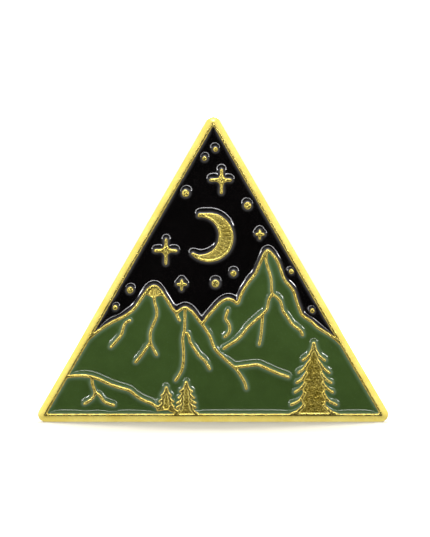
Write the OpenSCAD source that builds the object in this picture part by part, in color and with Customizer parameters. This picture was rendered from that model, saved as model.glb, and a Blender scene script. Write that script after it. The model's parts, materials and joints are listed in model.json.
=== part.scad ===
// Triangular soft-enamel pin with two posts and two butterfly clutches.
//
// The pin stands upright as it is worn: +Z is up, the decorated face looks along -Y, and +X is
// to the viewer's right. The plate's flat back lies in the plane y = 0, and the origin is on
// that back, midway between the two posts. All sizes are in millimetres.
//
// The artwork is drawn flat, as [x, height above the pin's bottom edge], for a pin that is
// ART_W wide, and is scaled with badge_w.

/* [Badge] */
// Overall width of the pin
badge_w = 38; // [30:0.5:50]
// Thickness of the struck plate at its rim
badge_t = 1.6; // [1.2:0.1:2.4]
// Width of the raised rim
rim_w = 0.9; // [0.7:0.05:1.1]
// Radius of the three outer corners
corner_r = 0.8; // [0.5:0.1:1.5]
// Depth of the cells that hold the enamel
cell_d = 0.6; // [0.4:0.05:0.8]
// How far the enamel lies below the raised metal
enamel_drop = 0.2; // [0.1:0.05:0.3]
// Width of the raised lines
line_w = 0.34; // [0.25:0.01:0.4]
// Depth of the stippled ground inside the moon and the trees
stipple_d = 0.12; // [0.05:0.01:0.2]

/* [Posts] */
// Distance between the two posts
post_gap = 14; // [13:0.5:15]
// Height of the posts above the pin's bottom edge
post_h = 9; // [8.5:0.1:10]
// Length of each post from the back of the plate
post_len = 8; // [7.5:0.1:9]
// Radius of the post's shank
post_r = 0.6; // [0.5:0.01:0.65]
// Radius of the thick root collar that the cloth sits on
collar_r = 0.8; // [0.75:0.01:0.9]
// Radius of the soldered foot
foot_r = 1.7; // [1.4:0.1:2]

/* [Clutches] */
// Radius of each clutch's disc
disc_r = 5.75; // [5:0.05:5.8]
// Gap between the plate's back and each disc, filled by the cloth when worn
cloth_gap = 2.2; // [2.1:0.1:3]
// Outer radius of the drum over the spring leaves
drum_r = 3.5; // [3.4:0.1:3.8]
// Radius of the eyelet's bore, which runs on the post
eyelet_bore_r = 0.7; // [0.67:0.01:0.8]
// Thickness of the wings' spring sheet
leaf_t = 0.25; // [0.2:0.01:0.25]

/* [Hidden] */

GOLD = "#e0c55c";
BRASS = "#c9a54a";
TIN = "#b9bcc0";
BLACK = "#0c0c0d";
GREEN = "#33552a";

// Width that the artwork's points are drawn for
ART_W = 38;
ART_SCALE = badge_w / ART_W;
// Side of the sharp-cornered triangle: each rounded corner shortens the bottom by this much
CORNER_CUT = corner_r * (sqrt(3) - 1);
SIDE = badge_w + 2 * CORNER_CUT;
SHARP_TOP = SIDE * sqrt(3) / 2;
CELL_FLOOR = badge_t - cell_d;
// Half the width of the hairlines that the raised lines are grown from
HAIR = 0.01;
// Gap between the enamel's edge and the cell's wall
ENAMEL_GAP = 0.02;
// Segments in each rounded 2D corner, and in each span of a drawn curve
ARC_FN = 12;
SPAN_STEPS = 2;

// ---- Posts: heights run away from the plate's back ----

// Soldered foot, thick collar, shank with a groove near its tip, and ground point
FOOT_T = 0.35;
COLLAR_TOP = 1.9;
POINT_LEN = 1.3;
GROOVE_AT = post_len - 2.4;
GROOVE_W = 0.35;
GROOVE_D = 0.12;
TIP_R = 0.12;
// Solder fillet round the foot
SOLDER_W = 0.55;
SOLDER_H = 0.33;

// ---- Clutches: heights run from the disc's cloth side, away from the plate ----

// Disc: a sheet with a rolled rim and a raised middle that covers the eyelet's lip
SHEET_T = 0.35;
RIM_ROLL_R = 0.38;
PAN_R = 2.75;
PAN_TOP = 0.75;
PAN_GAP = 0.07;
// Eyelet: its hub, the disc's hole round it, and the lip under the disc
HUB_R = 1.5;
HUB_HOLE_R = 1.65;
LIP_R = 2.2;
LIP_T = 0.24;
// Flared end of the eyelet inside the drum
FLARE_W = 0.4;
FLARE_T = 0.2;
// Drum with an open top for the post and two side slots for the wings
DRUM_BASE = 0.83;
DRUM_FLOOR = 1.15;
DRUM_CEILING = 3.25;
DRUM_TOP = 3.55;
DRUM_WALL = 0.3;
DRUM_ROUND = 0.5;
DRUM_HOLE_R = 0.95;
SLOT_HALF_W = 1.7;
SLOT_INNER = 2.55;
// The wings' tilt axis: distance from the post, and height
PIVOT_OUT = 2.3;
PIVOT_UP = 2.6;
// Wing: the leaf inside the drum, the neck in its slot, and the ear that fingers pinch
LEAF_HOLE_R = 0.85;
LEAF_HALF_W = 1.8;
NECK_HALF_W = 1.4;
EAR_HALF_W = 2.1;
LEAF_REACH = 1.1;
LEAF_A_UP = 2.93;
LEAF_B_UP = 2.18;
EAR_FROM = 4.2;
EAR_TO = 6.4;
WING_CORNER_R = 0.25;

// ---- Artwork: control points chosen by hand ----

RIDGE = [
    [-14.2, 8.3], [-13.4, 9.1], [-12.2, 10.05], [-10.9, 10.85], [-9.8, 11.35], [-8.9, 11.95],
    [-8.3, 12.6], [-7.8, 13.35], [-7.3, 14.05], [-6.9, 14.5], [-6.4, 14.72], [-5.95, 14.5],
    [-5.5, 13.95], [-5, 13.2], [-4.5, 12.4], [-4.1, 11.93], [-3.85, 11.92], [-3.5, 12.2],
    [-3.05, 12.38], [-2.6, 12.2], [-2.1, 11.75], [-1.7, 11.2], [-1.3, 10.7], [-1.1, 10.72],
    [-0.7, 11.3], [-0.1, 12], [0.5, 12.65], [1, 13.1], [1.6, 13.32], [2.2, 13.15],
    [2.55, 12.87], [2.75, 12.95], [2.95, 13.6], [3.4, 14.5], [4, 15.35], [4.6, 16.1],
    [5, 17], [5.4, 17.9], [5.65, 18.4], [5.88, 18.58], [6.15, 18.45], [6.7, 17.85],
    [7.15, 17], [7.45, 16.1], [7.8, 15.3], [8.3, 14.75], [8.75, 14.1], [9, 13.2],
    [9.3, 12.4], [9.6, 11.65], [10.1, 11.25], [10.7, 10.85], [11.2, 10.35], [12.1, 9.75],
    [13, 9.2], [13.9, 8.4], [14.8, 7.4]
];
HILL_LINE = [
    [-16.6, 4.75], [-15.6, 4.95], [-14.3, 5.02], [-13.2, 4.9], [-12.2, 4.55], [-11, 4],
    [-9.8, 3.62], [-9, 3.38], [-8.3, 2.8], [-7.5, 2.32], [-6.7, 2.02], [-6.1, 1.6], [-5.7, 1.4]
];
NOTCH_LINE = [
    [-1.2, 10.6], [-0.75, 9.95], [-0.35, 9.3], [-0.1, 8.6], [0.15, 8], [0.6, 7.45],
    [1.3, 6.8], [2.1, 6.1], [2.6, 5.6], [3.1, 4.85], [3.45, 4.2], [3.6, 3.6]
];
SHELF_LINE = [[2.35, 5.9], [3.2, 6.02], [4, 6.12], [4.8, 6.2], [5.6, 5.9], [6.8, 5.35], [8.2, 4.85]];
SPUR = [[-4.05, 11.9], [-3.85, 11.4], [-3.62, 10.98]];
LEFT_PEAK_LINE = [
    [-6.4, 13.7], [-6.35, 13], [-6.15, 12.3], [-6.1, 11.6], [-6.3, 11], [-6.65, 10.2],
    [-6.83, 9.5], [-6.8, 8.65]
];
LEFT_PEAK_FORK_A = [[-6.8, 8.65], [-7.25, 8], [-7.8, 7.2], [-8.42, 6.48]];
LEFT_PEAK_FORK_B = [[-6.8, 8.65], [-6.5, 7.95], [-6.12, 7.28]];
SHORT_LINE = [
    [-9, 11], [-9.45, 10.8], [-9.72, 10.3], [-9.85, 9.7], [-10.1, 9.25], [-10.6, 8.65], [-11.08, 8.12]
];
SMALL_PEAK_LINE = [
    [-3.05, 12.2], [-3.07, 11], [-3.1, 10], [-3.3, 9.1], [-3.25, 8.2], [-3.2, 7.2],
    [-3.3, 6], [-3.6, 5.2], [-4.08, 4.5]
];
SMALL_PEAK_FORK = [
    [-2.85, 9.65], [-2.6, 9.2], [-2.5, 8.65], [-2, 7.9], [-1.5, 7.15], [-0.9, 6.65], [-0.38, 5.75]
];
BEND_LINE = [
    [1.6, 12.1], [1.42, 11.6], [1.35, 11.15], [1.65, 10.75], [1.82, 10.2], [1.7, 9.65], [1.25, 9.2]
];
RIGHT_PEAK_LINE = [
    [5.8, 18.4], [5.72, 17.6], [5.95, 16.7], [6.2, 15.9], [6.33, 15.1], [6.33, 14.4], [6.42, 13.85]
];
RIGHT_FORK_A = [
    [6.42, 13.85], [6.05, 13.3], [5.95, 12.7], [5.75, 12.1], [5.2, 11.55], [4.4, 10.85],
    [3.7, 10.2], [3.1, 9.4], [2.5, 8.85], [1.8, 8.4], [1.15, 7.95]
];
RIGHT_DROP = [[5.38, 11.7], [5.3, 10.6], [5.22, 9.7], [5.1, 8.9], [4.98, 8.4]];
RIGHT_FORK_B = [
    [6.42, 13.85], [6.85, 13.55], [7.25, 13.15], [7.45, 12.6], [7.55, 12.05], [8, 11.45],
    [8.4, 10.85], [8.75, 10.45], [9.3, 10.05], [9.58, 9.75], [9.68, 9.42]
];
// Low ground that joins the two small trees
FOOT_LINK = [[-4.6, 1.24], [-4.15, 1.16], [-3.7, 1.1]];
HILL_STEM = [[-13.12, 4.9], [-13.12, 4.3], [-12.95, 3.7], [-12.78, 3.2]];
HILL_FORK_A = [[-12.78, 3.2], [-12.95, 2.75], [-13.4, 2.3], [-13.95, 1.98]];
HILL_FORK_B = [[-12.78, 3.2], [-12.35, 2.95], [-12, 2.45], [-11.6, 2.08], [-10.75, 1.8]];

LINES = [
    RIDGE, HILL_LINE, FOOT_LINK, NOTCH_LINE, SHELF_LINE, SPUR, LEFT_PEAK_LINE, LEFT_PEAK_FORK_A,
    LEFT_PEAK_FORK_B, SHORT_LINE, SMALL_PEAK_LINE, SMALL_PEAK_FORK, BEND_LINE, RIGHT_PEAK_LINE,
    RIGHT_FORK_A, RIGHT_DROP, RIGHT_FORK_B, HILL_STEM, HILL_FORK_A, HILL_FORK_B
];

// Solid cap under the left peak, and the dull ground inside it
PEAK_CAP = [
    [-7.35, 13.85], [-7, 13.65], [-6.75, 13.6], [-6.5, 13.3], [-6.3, 13.3], [-6.1, 13.62],
    [-5.8, 13.6], [-5.45, 13.8], [-5.9, 14.4], [-6.4, 14.7], [-6.9, 14.45]
];
PEAK_CAP_GROUND = [
    [-7, 13.82], [-6.75, 14.25], [-6.4, 14.45], [-6.05, 14.25], [-5.75, 13.8], [-6.1, 13.78],
    [-6.4, 13.6], [-6.75, 13.76]
];
// Small solid corner where the ridge runs into the right rim
RIM_CORNER = [[13, 9.3], [13.4, 9.1], [14.3, 8], [13.6, 8.5]];

// Round dots: [x, height, radius]
DOTS = [
    [0.25, 29.55, 0.28], [-0.95, 28.55, 0.28], [-3, 24.8, 0.42], [3.75, 23.45, 0.42],
    [2.2, 16.1, 0.34], [0.25, 15, 0.44], [8.48, 16.32, 0.29], [10.75, 12.05, 0.27],
    [-9, 14.3, 0.37], [-10.62, 12.4, 0.29]
];
// Four-armed stars: [centre x, centre height, left, right, up, down, arm half-width, flare]
STARS = [
    [0.92, 26.26, 1.2, 0.98, 1.05, 1.45, 0.18, 0.45],
    [-5.1, 18.6, 1.2, 1.1, 1.15, 1.45, 0.18, 0.45],
    [5.07, 20.38, 0.4, 0.42, 0.36, 0.52, 0.15, 0.15],
    [-3.4, 14.95, 0.46, 0.44, 0.4, 0.62, 0.15, 0.15]
];

// Moon: an outer disc less an inner one, with rounded horns
MOON_OUTER = [-0.45, 20, 2.67];
MOON_INNER = [-1.42, 20.17, 2.03];
MOON_HORNS = [[[-1.5, 22.47], [-0.9, 22.47], [-0.4, 22.4]], [[-2.18, 18.2], [-1.7, 17.98], [-1.1, 17.85]]];
HORN_HALF_W = 0.18;
MOON_EDGE = 0.2;

// Fir trees. Each branch runs from [half-width, height] on the trunk out to its tip
BIG_TREE_X = 10.92;
BIG_TREE_TOP = 8.5;
BIG_TREE_BRANCHES = [
    [[0.06, 8.45], [0.16, 7.9], [0.45, 7.3], [0.85, 6.9], [1.2, 6.68]],
    [[0.5, 6.6], [0.95, 5.95], [1.3, 5.6], [1.68, 5.33]],
    [[0.85, 5.25], [1.2, 4.75], [1.5, 4.45], [1.88, 4.25]],
    [[1, 4.15], [1.35, 3.7], [1.7, 3.42], [2.05, 3.22]],
    [[1.05, 3.1], [1.4, 2.5], [1.8, 2.15], [2.45, 1.86]],
    [[1.1, 1.8], [1.5, 1.4], [1.95, 1.05], [2.6, 0.8]]
];
BIG_TREE_TRUNK = [
    [0.06, 8.4], [0.22, 7.8], [0.5, 7.1], [0.55, 6.6], [0.9, 5.9], [0.95, 5.2], [1.15, 4.7],
    [1.12, 4.15], [1.3, 3.6], [1.15, 3.1], [1.4, 2.4], [1.2, 1.75], [1.5, 1.3], [2.2, 0.8]
];
MID_TREE_X = -2.92;
MID_TREE_TOP = 4.26;
MID_TREE_BRANCHES = [
    [[0.04, 4.2], [0.12, 3.85], [0.35, 3.5], [0.62, 3.3]],
    [[0.35, 3.1], [0.55, 2.8], [0.82, 2.62]],
    [[0.4, 2.5], [0.65, 2.2], [0.98, 2.04]],
    [[0.4, 1.95], [0.65, 1.72], [1, 1.56]],
    [[0.5, 1.5], [0.85, 1.12], [1.25, 0.85]]
];
MID_TREE_TRUNK = [
    [0.05, 4.1], [0.3, 3.42], [0.42, 3.36], [0.42, 3.2], [0.4, 3], [0.49, 2.76], [0.49, 2.6],
    [0.45, 2.4], [0.55, 2], [0.58, 1.64], [0.58, 1.5], [0.88, 1.1], [1.12, 0.7]
];
SMALL_TREE_X = -5.08;
SMALL_TREE_TOP = 3.68;
SMALL_TREE_BRANCHES = [
    [[0.04, 3.6], [0.14, 3.25], [0.32, 2.98], [0.5, 2.85]],
    [[0.3, 2.65], [0.48, 2.38], [0.74, 2.22]],
    [[0.35, 2.1], [0.55, 1.85], [0.8, 1.68]],
    [[0.4, 1.55], [0.6, 1.4], [0.95, 1.3]]
];
SMALL_TREE_TRUNK = [
    [0.05, 3.55], [0.25, 2.9], [0.35, 2.5], [0.45, 2], [0.66, 1.66], [0.74, 1.58], [0.75, 1.24]
];
BRANCH_HALF_W = 0.17;
TIP_HALF_W = 0.22;
TREE_EDGE = 0.12;

// ---- Curves ----

// One point of the Catmull-Rom curve between p1 and p2
function span_point(p0, p1, p2, p3, t) =
    0.5 * (2 * p1 + (p2 - p0) * t + (2 * p0 - 5 * p1 + 4 * p2 - p3) * pow(t, 2)
        + (3 * p1 - p0 - 3 * p2 + p3) * pow(t, 3));
function last(v) = len(v) - 1;
// A smooth curve through the points
function curve(p, steps = SPAN_STEPS) = [
    for (i = [0 : last(p) - 1])
        for (j = [0 : steps - 1])
            span_point(p[max(i - 1, 0)], p[i], p[i + 1], p[min(i + 2, last(p))], j / steps),
    p[last(p)]
];
function unit(v) = v / norm(v);
function left_of(v) = [-v.y, v.x];
function mirrored(p) = [for (q = p) [-q.x, q.y]];
function shifted(p, dx) = [for (q = p) [q.x + dx, q.y]];
function reversed(p) = [for (i = [last(p) : -1 : 0]) p[i]];

// A closed ribbon of even thickness along a curve
function side_at(p, i) = left_of(unit(p[min(i + 1, last(p))] - p[max(i - 1, 0)]));
function ribbon(p, half) = concat(
    [for (i = [0 : last(p)]) p[i] + half * side_at(p, i)],
    [for (i = [last(p) : -1 : 0]) p[i] - half * side_at(p, i)]
);

// A line too thin to see, which offset() grows into a round-ended raised line
module hairline(p) {
    polygon(ribbon(p, HAIR));
}

module grown(half) {
    offset(r = half - HAIR, $fn = ARC_FN) children();
}

// ---- Flat shapes of the artwork ----

module outline(inset = 0) {
    r = max(corner_r - inset, 0.12);
    reach = SHARP_TOP - 3 * (inset + r);
    offset(r = r, $fn = 48)
        polygon([
            [-reach / sqrt(3), inset + r], [reach / sqrt(3), inset + r],
            [0, inset + r + reach]
        ]);
}

module star(s) {
    offset(r = -s[7], $fn = ARC_FN) grown(s[7] + s[6]) {
        hairline([[s[0] - s[2], s[1] - 0.04], [s[0], s[1]], [s[0] + s[3], s[1] - 0.05]]);
        hairline([[s[0], s[1] + s[4]], [s[0] - 0.03, s[1] - s[5]]]);
    }
}

module crescent() {
    difference() {
        translate([MOON_OUTER[0], MOON_OUTER[1]]) circle(r = MOON_OUTER[2], $fn = 72);
        translate([MOON_INNER[0], MOON_INNER[1]]) circle(r = MOON_INNER[2], $fn = 72);
    }
}

module moon() {
    offset(r = 0.1, $fn = ARC_FN) offset(r = -0.1, $fn = ARC_FN) crescent();
    grown(HORN_HALF_W) for (h = MOON_HORNS) hairline(curve(h));
}

module trunk(x, half) {
    polygon(concat(shifted(half, x), reversed(shifted(mirrored(half), x))));
}

module branches(x, top, tiers) {
    grown(BRANCH_HALF_W) for (b = tiers) {
        hairline(shifted(b, x));
        hairline(shifted(mirrored(b), x));
    }
    grown(TIP_HALF_W) hairline([[x, top], [x, top - 0.2]]);
}

module trees() {
    branches(BIG_TREE_X, BIG_TREE_TOP, BIG_TREE_BRANCHES);
    branches(MID_TREE_X, MID_TREE_TOP, MID_TREE_BRANCHES);
    branches(SMALL_TREE_X, SMALL_TREE_TOP, SMALL_TREE_BRANCHES);
}

module trunks() {
    trunk(BIG_TREE_X, BIG_TREE_TRUNK);
    trunk(MID_TREE_X, MID_TREE_TRUNK);
    trunk(SMALL_TREE_X, SMALL_TREE_TRUNK);
}

// Everything raised inside the rim
module raised_art() {
    scale([ART_SCALE, ART_SCALE]) {
        grown(line_w / 2) for (l = LINES) hairline(curve(l));
        polygon(PEAK_CAP);
        polygon(RIM_CORNER);
        for (d = DOTS) translate([d[0], d[1]]) circle(r = d[2], $fn = 24);
        for (s = STARS) star(s);
        moon();
        trees();
        trunks();
    }
}

// Stippled grounds that lie a little below the polished lines
module stippled() {
    scale([ART_SCALE, ART_SCALE]) {
        offset(r = -MOON_EDGE, $fn = ARC_FN) crescent();
        polygon(PEAK_CAP_GROUND);
        difference() {
            offset(r = -TREE_EDGE, $fn = ARC_FN) trunks();
            trees();
        }
    }
}

// The raised metal: rim and artwork
module raised_metal() {
    difference() {
        outline();
        outline(rim_w);
    }
    intersection() {
        outline(rim_w / 2);
        raised_art();
    }
}

module cells() {
    difference() {
        outline(rim_w / 2);
        offset(delta = ENAMEL_GAP) raised_metal();
    }
}

// Region above the ridge, and region under the hill line
module above_ridge() {
    scale([ART_SCALE, ART_SCALE]) polygon(concat(curve(RIDGE), [[20, 40], [-20, 40]]));
}

module under_hill() {
    scale([ART_SCALE, ART_SCALE])
        polygon(concat(curve(HILL_LINE), FOOT_LINK, [[-3, 1.1], [-3, -1], [-20, -1]]));
}

// Stands a flat drawing up as the pin's face and gives it a thickness, from depth a to depth b
// in front of the plate's back
module stand_up(a, b) {
    translate([0, 0, -post_h]) rotate([90, 0, 0]) translate([0, 0, a])
        linear_extrude(b - a) offset(delta = 0) children();
}

// ---- Struck plate and its enamel ----

module badge_plate() {
    color(GOLD) difference() {
        stand_up(0, badge_t) outline();
        stand_up(CELL_FLOOR, badge_t + 1) difference() {
            outline(rim_w / 2);
            raised_metal();
        }
        stand_up(badge_t - stipple_d, badge_t + 1) stippled();
    }
}

module sky_enamel() {
    color(BLACK) stand_up(CELL_FLOOR, badge_t - enamel_drop) intersection() {
        cells();
        above_ridge();
    }
}

module mountain_enamel() {
    color(GREEN) stand_up(CELL_FLOOR, badge_t - enamel_drop) difference() {
        cells();
        above_ridge();
        under_hill();
    }
}

module hill_enamel() {
    color(GREEN) stand_up(CELL_FLOOR, badge_t - enamel_drop) intersection() {
        cells();
        under_hill();
    }
}

// ---- Posts ----

// Places a piece drawn along +Z onto a post's axis, on side -1 or 1
module on_post(side) {
    translate([side * post_gap / 2, 0, 0]) rotate([-90, 0, 0]) children();
}

module post(side) {
    color(BRASS) on_post(side) rotate_extrude($fn = 48) polygon([
        [0, 0], [foot_r, 0], [foot_r, FOOT_T], [collar_r, FOOT_T], [collar_r, COLLAR_TOP],
        [post_r, COLLAR_TOP + 0.1], [post_r, GROOVE_AT], [post_r - GROOVE_D, GROOVE_AT + GROOVE_D],
        [post_r - GROOVE_D, GROOVE_AT + GROOVE_W], [post_r, GROOVE_AT + GROOVE_W + GROOVE_D],
        [post_r, post_len - POINT_LEN], [TIP_R, post_len - 0.1], [0, post_len]
    ]);
}

module solder(side) {
    r = foot_r + ENAMEL_GAP;
    color(TIN) on_post(side) rotate_extrude($fn = 48) polygon([
        [r, 0], [r + SOLDER_W, 0], [r + 0.3, 0.1], [r + 0.12, 0.22], [r, SOLDER_H]
    ]);
}

// ---- Clutches ----

module on_clutch(side) {
    on_post(side) translate([0, 0, cloth_gap]) children();
}

module disc(side) {
    roll = disc_r - RIM_ROLL_R;
    color(BRASS) on_clutch(side) rotate_extrude($fn = 96) polygon(concat(
        [[PAN_R - SHEET_T, 0], [roll, 0]],
        [for (a = [-75 : 15 : 225]) [roll + RIM_ROLL_R * cos(a), RIM_ROLL_R * (1 + sin(a))]],
        [
            [roll - RIM_ROLL_R, SHEET_T], [PAN_R, SHEET_T], [PAN_R, PAN_TOP], [HUB_HOLE_R, PAN_TOP],
            [HUB_HOLE_R, PAN_TOP - SHEET_T], [PAN_R - SHEET_T, PAN_TOP - SHEET_T]
        ]
    ));
}

module eyelet(side) {
    lip = PAN_TOP - SHEET_T - PAN_GAP - LIP_T;
    color(BRASS) on_clutch(side) rotate_extrude($fn = 48) polygon([
        [eyelet_bore_r, lip], [LIP_R, lip], [LIP_R, lip + LIP_T], [HUB_R, lip + LIP_T],
        [HUB_R, DRUM_FLOOR], [HUB_R + FLARE_W, DRUM_FLOOR], [HUB_R + FLARE_W - 0.1, DRUM_FLOOR + FLARE_T],
        [eyelet_bore_r, DRUM_FLOOR + FLARE_T]
    ]);
}

module housing(side) {
    color(GOLD) on_clutch(side) difference() {
        rotate_extrude($fn = 96) polygon([
            [HUB_R + ENAMEL_GAP, DRUM_BASE], [drum_r, DRUM_BASE], [drum_r, DRUM_TOP - DRUM_ROUND],
            [drum_r - 0.15, DRUM_TOP - 0.15], [drum_r - DRUM_ROUND, DRUM_TOP],
            [DRUM_HOLE_R, DRUM_TOP], [DRUM_HOLE_R, DRUM_CEILING], [drum_r - DRUM_WALL, DRUM_CEILING],
            [drum_r - DRUM_WALL, DRUM_FLOOR], [HUB_R + ENAMEL_GAP, DRUM_FLOOR]
        ]);
        for (way = [-1, 1])
            translate([-SLOT_HALF_W, way > 0 ? SLOT_INNER : -SLOT_INNER - 2, DRUM_FLOOR + 0.1])
                cube([2 * SLOT_HALF_W, 2, 4]);
    }
}

module strip(from, to, half) {
    translate([from, -half]) square([to - from, 2 * half]);
}

// One pinch wing, drawn with its ear towards +X and its leaf's middle line at leaf_up
module wing(leaf_up) {
    path = curve([
        [-LEAF_REACH, leaf_up], [0.2, leaf_up], [1.3, leaf_up], [2.1, (leaf_up + PIVOT_UP) / 2],
        [2.9, 2.65], [3.6, 2.75], [4.4, 3.15], [5, 3.9], [5.4, 4.8], [5.95, 5.65]
    ], 3);
    difference() {
        intersection() {
            rotate([90, 0, 0]) linear_extrude(2 * EAR_HALF_W, center = true)
                polygon(ribbon(path, leaf_t / 2));
            linear_extrude(8) offset(r = WING_CORNER_R, $fn = ARC_FN) offset(delta = -WING_CORNER_R) {
                strip(-LEAF_REACH - 1, PIVOT_OUT, LEAF_HALF_W);
                strip(0, EAR_TO - 0.4, NECK_HALF_W);
                strip(EAR_FROM, EAR_TO, EAR_HALF_W);
            }
        }
        cylinder(r = LEAF_HOLE_R, h = 8, $fn = 48);
    }
}

// Wing a points up and wing b points down; their leaves pass one above the other
module wing_a(side) {
    color(GOLD) on_clutch(side) rotate([0, 0, -90]) wing(LEAF_A_UP);
}

module wing_b(side) {
    color(GOLD) on_clutch(side) rotate([0, 0, 90]) wing(LEAF_B_UP);
}

badge_plate();
sky_enamel();
mountain_enamel();
hill_enamel();
post(-1);  // left_post
post(1);  // right_post
solder(-1);  // left_solder
solder(1);  // right_solder
disc(-1);  // left_disc
disc(1);  // right_disc
eyelet(-1);  // left_eyelet
eyelet(1);  // right_eyelet
housing(-1);  // left_housing
housing(1);  // right_housing
wing_a(-1);  // left_wing_a
wing_b(-1);  // left_wing_b
wing_a(1);  // right_wing_a
wing_b(1);  // right_wing_b
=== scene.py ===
"""Looks of the triangular soft-enamel pin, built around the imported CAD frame.

The struck face is made again as fine relief meshes inside the outlines of the CAD plate: rounded
gold ridges, a rolled rim and stippled grounds, and enamel that climbs every wall in a meniscus.
Flat work is done in millimetres as (x, z), with height measured from the back towards the viewer.
"""

import json
import math

import bpy
import numpy as np
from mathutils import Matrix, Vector
from mathutils.bvhtree import BVHTree
from mathutils.geometry import delaunay_2d_cdt

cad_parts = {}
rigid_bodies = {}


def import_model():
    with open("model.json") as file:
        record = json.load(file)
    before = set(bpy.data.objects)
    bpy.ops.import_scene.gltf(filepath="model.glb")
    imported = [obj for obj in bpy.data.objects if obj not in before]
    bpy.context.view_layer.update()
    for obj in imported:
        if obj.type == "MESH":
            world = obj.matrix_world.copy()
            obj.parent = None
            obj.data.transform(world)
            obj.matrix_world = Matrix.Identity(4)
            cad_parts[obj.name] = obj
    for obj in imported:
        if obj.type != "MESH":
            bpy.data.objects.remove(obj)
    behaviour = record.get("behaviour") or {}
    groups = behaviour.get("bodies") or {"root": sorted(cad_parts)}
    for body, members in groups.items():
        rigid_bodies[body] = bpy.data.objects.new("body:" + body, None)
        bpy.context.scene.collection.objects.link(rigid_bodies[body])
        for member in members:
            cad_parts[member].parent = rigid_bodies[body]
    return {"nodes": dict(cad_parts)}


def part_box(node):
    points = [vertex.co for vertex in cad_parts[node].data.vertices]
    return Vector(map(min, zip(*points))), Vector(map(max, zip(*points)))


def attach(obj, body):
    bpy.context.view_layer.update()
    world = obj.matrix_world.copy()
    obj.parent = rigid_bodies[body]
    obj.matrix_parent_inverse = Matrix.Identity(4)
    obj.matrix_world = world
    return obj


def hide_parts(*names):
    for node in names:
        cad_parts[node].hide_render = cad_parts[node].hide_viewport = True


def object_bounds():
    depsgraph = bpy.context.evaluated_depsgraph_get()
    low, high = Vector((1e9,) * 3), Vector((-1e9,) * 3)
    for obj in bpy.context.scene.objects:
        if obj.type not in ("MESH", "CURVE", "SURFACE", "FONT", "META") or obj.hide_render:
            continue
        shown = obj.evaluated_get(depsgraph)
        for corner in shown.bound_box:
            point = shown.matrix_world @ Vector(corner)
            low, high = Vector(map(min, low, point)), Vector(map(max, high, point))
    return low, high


for thing in list(bpy.data.objects):
    bpy.data.objects.remove(thing, do_unlink=True)

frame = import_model()
cad_lo, cad_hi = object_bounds()
NODES = frame["nodes"]
MM = 1000.0

# ---------------------------------------------------------------- levels, in mm from the back

plate_lo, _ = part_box("badge_plate")
TOP = -plate_lo.y * MM                    # the raised metal
enamel_lo, enamel_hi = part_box("sky_enamel")
FLAT = -enamel_lo.y * MM                  # the enamel's level away from any wall
FLOOR = -enamel_hi.y * MM                 # the bottom of the enamel's cells
GROUND_FACE = TOP - 0.12                  # the CAD's sunk grounds: moon, trees, snow cap

# ---------------------------------------------------------------- relief sizes, in mm

RIM_W = 0.9                               # flat width of the rim in the CAD
RIM_BLEND = 0.1                           # over which a line's shoulder turns into the rim's
SHOULDER_W, SHOULDER_DROP = 0.15, 0.075   # the rounded shoulder of a raised line
RIM_INNER_W = 0.2                         # width of the rim's inner shoulder
CREST_IN, CREST_SOFT = 0.68, 0.05         # the rim's crest, from the outer edge, and its rounding
CREST_REFLECTION_IN, CREST_REFLECTION_W = 0.03, 0.055  # the painted dark reflection along the crest: its place and width
# how dark the painted reflection along the crest is
CREST_REFLECTION_DARK = 0.85
ROLL_SLOPE, ROLL_DROP, ROLL_EDGE = 0.36, 0.22, 0.42   # the rim's fall from crest to outer edge
GROUND_DEPTH, GROUND_RAMP = 0.06, 0.1     # a stippled ground's depth, and its fall at the outline
GRAIN = 0.075                             # height of the stipple
GRAIN_COARSE, GRAIN_FINE, GRAIN_FINE_PART = 0.11, 0.06, 0.6
PEEL, PEEL_PERIOD = 0.006, 0.19           # faint unevenness of the polished metal
SHADE_REACH = 0.085                     # how far the painted shade reaches from a wall
STEEPEST = 0.995                          # keeps the round profiles off a vertical tangent
WALL_GAP = 0.004                          # the enamel stops this far under the shoulder's foot
RISE = TOP - SHOULDER_DROP - WALL_GAP - FLAT
CAPILLARY = 0.30                          # how far the enamel's climb reaches
WAVE_PERIOD, WAVE_RISE = 2.6, 0.008       # the enamel's slight unevenness
BACK_BEVEL = ((0.0, 1.1), (0.0, 0.6), (0.0, 0.2), (0.03, 0.08), (0.1, 0.0))   # (inset, height)

# ---------------------------------------------------------------- mesh sizes, in mm

LOOP_STEP = 0.05                          # spacing along the cells' outlines
OUTER_STEP = 0.12                         # spacing along the pin's outer edge
BACK_STEP = 1.2                           # spacing on the flat back
GROUND_STEP, GROUND_CLEAR = 0.045, 0.02   # spacing on the grounds, and clearance to outlines
NORMAL_STEP = 0.04                        # over which the waves' slope is taken
# (distance from the walls up to which it holds, spacing)
ENAMEL_STEPS = ((0.75, 0.075), (1.3, 0.16), (9.0, 0.42))
METAL_STEPS = ((0.19, 0.048), (0.3, 0.07), (9.0, 0.12))
FAR = 3.0                                 # distances are not looked for beyond this
CAP_LEVEL_ERROR = 2e-3
SMALLEST_GROUND, SMALLEST_CELL, SMALLEST_HOLE = 0.01, 0.004, 0.002   # areas, mm2
NO_AREA = 1e-5
SHARP_ANGLE = 50                          # degrees


def smoothstep(t):
    t = np.clip(t, 0.0, 1.0)
    return t * t * (3 - 2 * t)


def make_lattice(seed, n=256):
    return np.random.RandomState(seed).rand(n, n)


LATTICES = [make_lattice(s) for s in (3, 5, 7)]


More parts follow.
